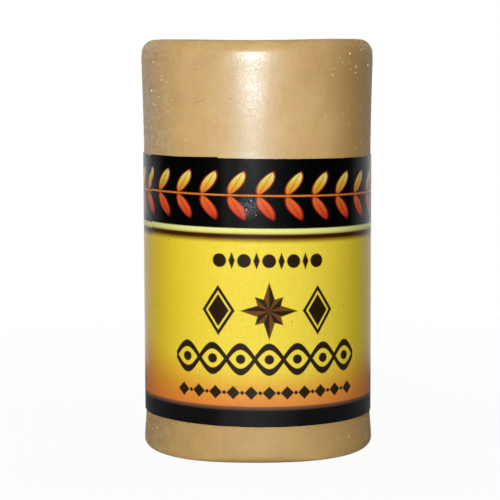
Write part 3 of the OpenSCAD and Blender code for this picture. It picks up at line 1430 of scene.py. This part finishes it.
@dataclass
class Crumbs:
    """Specks of wax dust that cling to the bare wax above and below the label, and a few to its film."""

    per_square_mm: float = 1.0
    smallest: float = 0.028
    largest: float = 0.085
    rarity: float = 2.2
    bold_radius: float = 0.11
    film_height: float = 0.1
    clear_base: float = 0.3
    label_low: float = 3.6
    label_high: float = 32.6
    seed: int = 6

    # Where dust gathers: by distance from the middle, and in patches
    aside: Ramp = Ramp(5.0, 10.5, 0.22, 1.0)
    patch_grain: Grain = Grain(5.0)
    patches: Ramp = Ramp(0.38, 0.6, 0.25, 1.0)

    # The random draws for a speck's shape and for its turn: lowest, highest and seed
    squash: tuple[Triple, Triple, int] = ((0.7, 0.7, 0.6), (1.15, 1.15, 1.0), 3)
    turn: tuple[Triple, Triple, int] = ((0.0, 0.0, 0.0), (math.tau, math.tau, math.tau), 5)

    # Angle from the front, height, and share of the boldest speck's radius
    bold: tuple[Triple, ...] = (
        (-60.2, 42.1, 1.0),
        (-28.6, 41.6, 1.0),
        (38.3, 40.7, 1.0),
        (33.1, 38.8, 0.8),
        (34.4, 36.5, 0.8),
        (69.3, 41.7, 0.9),
        (-53.3, 40.2, 0.9),
        (-48.6, 40.0, 0.8),
        (-63.3, 39.1, 1.0),
        (-37.4, 39.0, 0.6),
        (-33.9, 38.9, 0.6),
        (-55.4, 38.4, 0.7),
        (-61.6, 37.6, 0.8),
        (-30.0, 44.1, 0.6),
        (44.6, 42.0, 0.6),
        (42.5, 42.5, 0.5),
        (50.3, 42.9, 0.7),
        (55.6, 41.6, 0.6),
        (-60.7, 2.7, 1.0),
        (50.8, 2.0, 0.9),
        (24.4, 3.3, 1.0),
    )
    # The same for the few specks on the label's film
    on_film: tuple[Triple, ...] = (
        (-3.3, 27.82, 0.7),
        (-5.4, 26.78, 0.65),
        (-0.9, 26.3, 0.35),
        (-4.3, 28.3, 0.3),
        (-41.0, 19.4, 0.4),
        (33.0, 12.9, 0.4),
    )

    def sizes(self) -> dict[str, float]:
        """Gives the geometry tree's named inputs.

        Returns:
            The density per square metre, the lengths in metres and the seed, by name.
        """
        lengths = {
            "Smallest": self.smallest,
            "Largest": self.largest,
            "Bold": self.bold_radius,
            "Low": self.label_low,
            "High": self.label_high,
        }
        sizes = {name: length * MM for name, length in lengths.items()}
        return {"Density": self.per_square_mm / MM**2, **sizes, "Seed": self.seed}

    def tree(self) -> bpy.types.NodeTree:
        """Builds the geometry tree that scatters specks on a skin and on marked points.

        Returns:
            The node tree.
        """
        g, size = new_geometry_tree("scattered_crumbs", self.sizes())
        place = g.add("GeometryNodeInputPosition")
        parts = g.add(XYZ, {0: place}).node.outputs
        above = g.chain(MATH, parts["Z"], ("GREATER_THAN", size["High"]))
        off_base = g.chain(MATH, parts["Z"], ("GREATER_THAN", self.clear_base * MM))
        bare = g.chain(MATH, parts["Z"], ("LESS_THAN", size["Low"]), ("MAXIMUM", above))
        bare = g.chain(MATH, bare, ("MULTIPLY", off_base))
        # Dust gathers at the sides, where the stick is held less.
        sideways = g.chain(MATH, parts["X"], ("ABSOLUTE",))
        sideways = g.add(RANGE, self.aside.of(sideways, MM))
        patch = g.add(RANGE, self.patches.of(g.add(NOISE, self.patch_grain.of(place))))
        factors = (patch, bare, size["Density"])
        density = g.chain(MATH, sideways, *(("MULTIPLY", factor) for factor in factors))
        sowing = {"Mesh": size["Geometry"], "Density": density, "Seed": size["Seed"]}
        strewn = g.add("GeometryNodeDistributePointsOnFaces", sowing)
        marked = g.add("GeometryNodeInputNamedAttribute", {"Name": MARK}, data_type="FLOAT")
        placed = g.add("GeometryNodeMeshToPoints", {"Mesh": size["Geometry"], "Selection": marked})
        points = g.add("GeometryNodeJoinGeometry", {0: [strewn, placed]})
        grain = g.add("GeometryNodeMeshIcoSphere", {"Radius": 1.0, "Subdivisions": 1})
        draw = g.add("FunctionNodeRandomValue", {2: 0.0, 3: 1.0, "Seed": size["Seed"]})
        draw = g.chain(MATH, draw, ("POWER", self.rarity))
        usual = g.add(RANGE, {0: draw, 3: size["Smallest"], 4: size["Largest"]})
        radius = g.add(MIX, {0: marked, 2: usual, 3: size["Bold"]})
        squash, turned = (
            g.add("FunctionNodeRandomValue", {0: low, 1: high, "Seed": seed}, data_type="FLOAT_VECTOR")
            for low, high, seed in (self.squash, self.turn)
        )
        scale = g.add(VECTOR, {0: squash, 3: radius}, operation="SCALE")
        sowing = {"Points": points, "Instance": grain, "Rotation": turned, "Scale": scale}
        sown = g.add("GeometryNodeInstanceOnPoints", sowing)
        real = g.add("GeometryNodeRealizeInstances", {0: sown})
        smooth = g.add("GeometryNodeSetShadeSmooth", {"Geometry": real})
        finished = g.add("GeometryNodeSetMaterial", {"Geometry": smooth, "Material": size["Finish"]})
        g.add("NodeGroupOutput", {0: finished})
        return g.tree

    def build(self, casting: Casting, block: bpy.types.Object, finish: Material) -> bpy.types.Object:
        """Scatters the specks over the block.

        Args:
            casting: The casting's sizes.
            block: The finished block, which stays as it is.
            finish: The specks' wax.

        Returns:
            The finished object, riding on the body.
        """
        skin = block.data.copy()
        builder = bmesh.new()
        builder.from_mesh(skin)
        mark = builder.verts.layers.float.new(MARK)
        marked = [(*spot, 0.0) for spot in self.bold] + [(*spot, self.film_height) for spot in self.on_film]
        for angle, height, share, off in marked:
            vert = builder.verts.new(casting.on_wall(angle, height, off) * MM)
            vert[mark] = share
        builder.to_mesh(skin)
        builder.free()
        made = grown("wax_crumbs", skin, self.tree(), self.sizes(), finish)
        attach(made, BODY)
        return made


# Studio


@dataclass(frozen=True)
class Lamp:
    """A soft rectangular lamp: middle and size in millimetres, power in watts, and whether gloss shows it."""

    name: str
    place: Triple
    size: tuple[float, float]
    power: float
    mirrored: bool = False

    def hang(self, aim: Vector) -> None:
        """Hangs the lamp.

        Args:
            aim: The point that it is turned to, in metres.
        """
        data = bpy.data.lights.new(self.name, "AREA")
        data.shape = "RECTANGLE"
        data.size, data.size_y = (side * MM for side in self.size)
        data.energy = self.power
        made = new_object(self.name, data)
        made.location = Vector(self.place) * MM
        made.rotation_euler = (aim - made.location).to_track_quat("-Z", "Y").to_euler()
        made.visible_glossy = self.mirrored


@dataclass
class Studio:
    """A plain pale sweep of paper, a lamp over the lens, soft fill, and the photograph's camera."""

    camera_distance: float = 200.7
    camera_height: float = 42.0
    camera_offset: float = -0.83
    camera_pitch: float = 5.866
    camera_roll: float = -0.18
    lens: float = 131.23
    sensor: float = 36.0
    nearest: float = 5.0
    farthest: float = 20000.0
    aim_height: float = 24.0
    floor_radius: float = 320.0
    floor_sides: int = 96
    lamps: tuple[Lamp, ...] = (
        Lamp("over_the_lens", (-18.0, -200.0, 60.0), (46.0, 26.0), 0.33, mirrored=True),
        Lamp("left_fill", (-250.0, -210.0, 120.0), (220.0, 220.0), 0.075),
        Lamp("back_left", (-260.0, 400.0, 150.0), (220.0, 220.0), 0.85),
        Lamp("back_right", (260.0, 400.0, 150.0), (220.0, 220.0), 0.85),
        Lamp("overhead", (0.0, 60.0, 400.0), (300.0, 300.0), 0.3),
    )

    # The paper as the camera sees it, and as a grey card on a dark table that throws light back
    paper_shade: float = 0.9
    tooth_grain: Grain = Grain(0.6)
    tooth: Ramp = Ramp(0.3, 0.7, 0.98, 1.02)
    card: Ramp = Ramp(42.0, 67.2, 0.25, 0.06)
    open_paper: Ramp = Ramp(30.0, 110.0, 0.94, 1.0)

    # What gloss mirrors: the pale backdrop behind the stick, and the lit paper in front of it
    backdrop: Ramp = Ramp(0.27, 1.0, 0.0, 0.8)
    distant: Ramp = Ramp(42.0, 67.2)
    lit_front: Ramp = Ramp(-0.8, -1.0, 0.14, 0.462)
    lit_near: float = 50.0
    lit_far: float = 120.0
    sky: Ramp = Ramp(-0.2, 1.0, 0.06, 0.09)

    def sweep(self) -> bpy.types.Object:
        """Lays the floor: pale paper, white to the camera, which still takes the stick's shadow.

        Returns:
            The floor.
        """
        builder = bmesh.new()
        radius = self.floor_radius * MM
        bmesh.ops.create_circle(builder, cap_ends=True, segments=self.floor_sides, radius=radius)
        mesh = bpy.data.meshes.new("paper_sweep")
        builder.to_mesh(mesh)
        builder.free()
        material, g = new_material("seamless_white_paper")
        place = g.add("ShaderNodeTexCoord", out="Object")
        paths = g.add("ShaderNodeLightPath").node.outputs
        seen, mirrored = paths["Is Camera Ray"], paths["Is Glossy Ray"]
        away = g.chain(VECTOR, place, ("LENGTH",))
        card = g.add(RANGE, self.card.of(away, MM))
        tooth = g.add(RANGE, self.tooth.of(g.add(NOISE, self.tooth_grain.of(place))))
        shade = g.add(MIX, {0: seen, 2: card, 3: self.paper_shade})
        shade = g.chain(MATH, shade, ("MULTIPLY", tooth))
        grey = g.add("ShaderNodeCombineColor", {0: shade, 1: shade, 2: shade})
        paper = g.add("ShaderNodeBsdfDiffuse", {"Color": grey})
        behind = g.add(XYZ, {0: g.chain(VECTOR, place, ("NORMALIZE",))}, out="Y")
        distant = g.add(RANGE, self.distant.of(away, MM))
        # The lamp over the lens brightens the paper straight in front of the stick.
        lit = g.add(RANGE, self.lit_front.of(behind))
        nearby = g.add(RANGE, {0: away, 1: self.lit_near * MM, 2: self.lit_far * MM, 3: lit, 4: 0.0})
        backdrop = g.add(RANGE, self.backdrop.of(behind))
        backdrop = g.chain(MATH, backdrop, ("MULTIPLY", distant), ("MAXIMUM", nearby))
        level = g.add(MIX, {0: seen, 2: backdrop, 3: 1.0})
        glow = g.add("ShaderNodeEmission", {"Color": WHITE, "Strength": level})
        open_paper = g.add(RANGE, self.open_paper.of(away, MM))
        share = g.add(MIX, {0: seen, 2: mirrored, 3: open_paper})
        shader = g.add("ShaderNodeMixShader", {0: share, 1: paper, 2: glow})
        g.add("ShaderNodeOutputMaterial", {"Surface": shader})
        mesh.materials.append(material)
        floor = new_object("paper_sweep", mesh)
        return floor

    def room(self) -> None:
        """Sets what is round the stick: white to the camera, a backdrop in gloss, soft light elsewhere."""
        world = bpy.data.worlds.new("studio")
        world.use_nodes = True
        world.node_tree.nodes.clear()
        bpy.context.scene.world = world
        g = Graph(world.node_tree)
        paths = g.add("ShaderNodeLightPath").node.outputs
        parts = g.add(XYZ, {0: g.add("ShaderNodeTexCoord", out="Generated")}).node.outputs
        # The backdrop stands behind the stick, so only its far side mirrors it.
        backdrop = g.add(RANGE, self.backdrop.of(parts["Y"]))
        sky = g.add(RANGE, self.sky.of(parts["Z"]))
        level = g.add(MIX, {0: paths["Is Glossy Ray"], 2: sky, 3: backdrop})
        clear = g.chain(MATH, paths["Is Camera Ray"], ("MAXIMUM", paths["Is Transmission Ray"]))
        level = g.add(MIX, {0: clear, 2: level, 3: 1.0})
        shade = g.add("ShaderNodeCombineColor", {0: level, 1: level, 2: level})
        ground = g.add("ShaderNodeBackground", {"Color": shade, "Strength": 1.0})
        g.add("ShaderNodeOutputWorld", {"Surface": ground})

    def camera(self) -> None:
        """Sets the camera where the photograph was taken from."""
        data = bpy.data.cameras.new("camera")
        data.lens = self.lens
        data.sensor_width = self.sensor
        data.clip_start, data.clip_end = self.nearest * MM, self.farthest * MM
        made = new_object("camera", data)
        place = Vector((self.camera_offset, -self.camera_distance, self.camera_height)) * MM
        made.matrix_world = (
            Matrix.Translation(place)
            @ Matrix.Rotation(math.radians(90 - self.camera_pitch), 4, "X")
            @ Matrix.Rotation(math.radians(self.camera_roll), 4, "Z")
        )
        bpy.context.scene.camera = made

    def build(self) -> None:
        """Builds the whole studio."""
        bpy.context.scene.view_settings.view_transform = "Standard"
        self.sweep()
        self.room()
        for lamp in self.lamps:
            lamp.hang(Vector((0.0, 0.0, self.aim_height)) * MM)
        self.camera()


def main() -> None:
    """Builds the studio, then the stick from the wax outwards, and reports each piece."""
    logging.basicConfig(level=logging.INFO, format="%(name)s: %(message)s")
    Studio().build()

    casting = Casting()
    block = casting.build(CastWax())
    adhesive = WrapLayer(
        "label_adhesive_film",
        "label_adhesive",
        "adhesive",
        inner_radius=WAIST_RADIUS,
        thickness=ADHESIVE_THICKNESS,
        inset=0.12,
        corner_lift=0.0,
        tenting=0.0,
        end_rise=0.0,
        steps_around=300,
        steps_high=12,
    )
    film = WrapLayer(
        "printed_wrap_label",
        "printed_label",
        "label",
        inner_radius=WAIST_RADIUS + ADHESIVE_THICKNESS,
        thickness=FILM_THICKNESS,
    )
    tree = film.tree()
    glue = adhesive.build(tree, ADHESIVE.build())
    label = film.build(tree, PrintedFilm().build())
    crumbs = Crumbs().build(casting, block, WAX_CRUMB.build())
    for piece in (block, glue, label, crumbs):
        log.info("%s: %d faces", piece.name, len(piece.data.polygons))


if __name__ == "__main__":
    main()
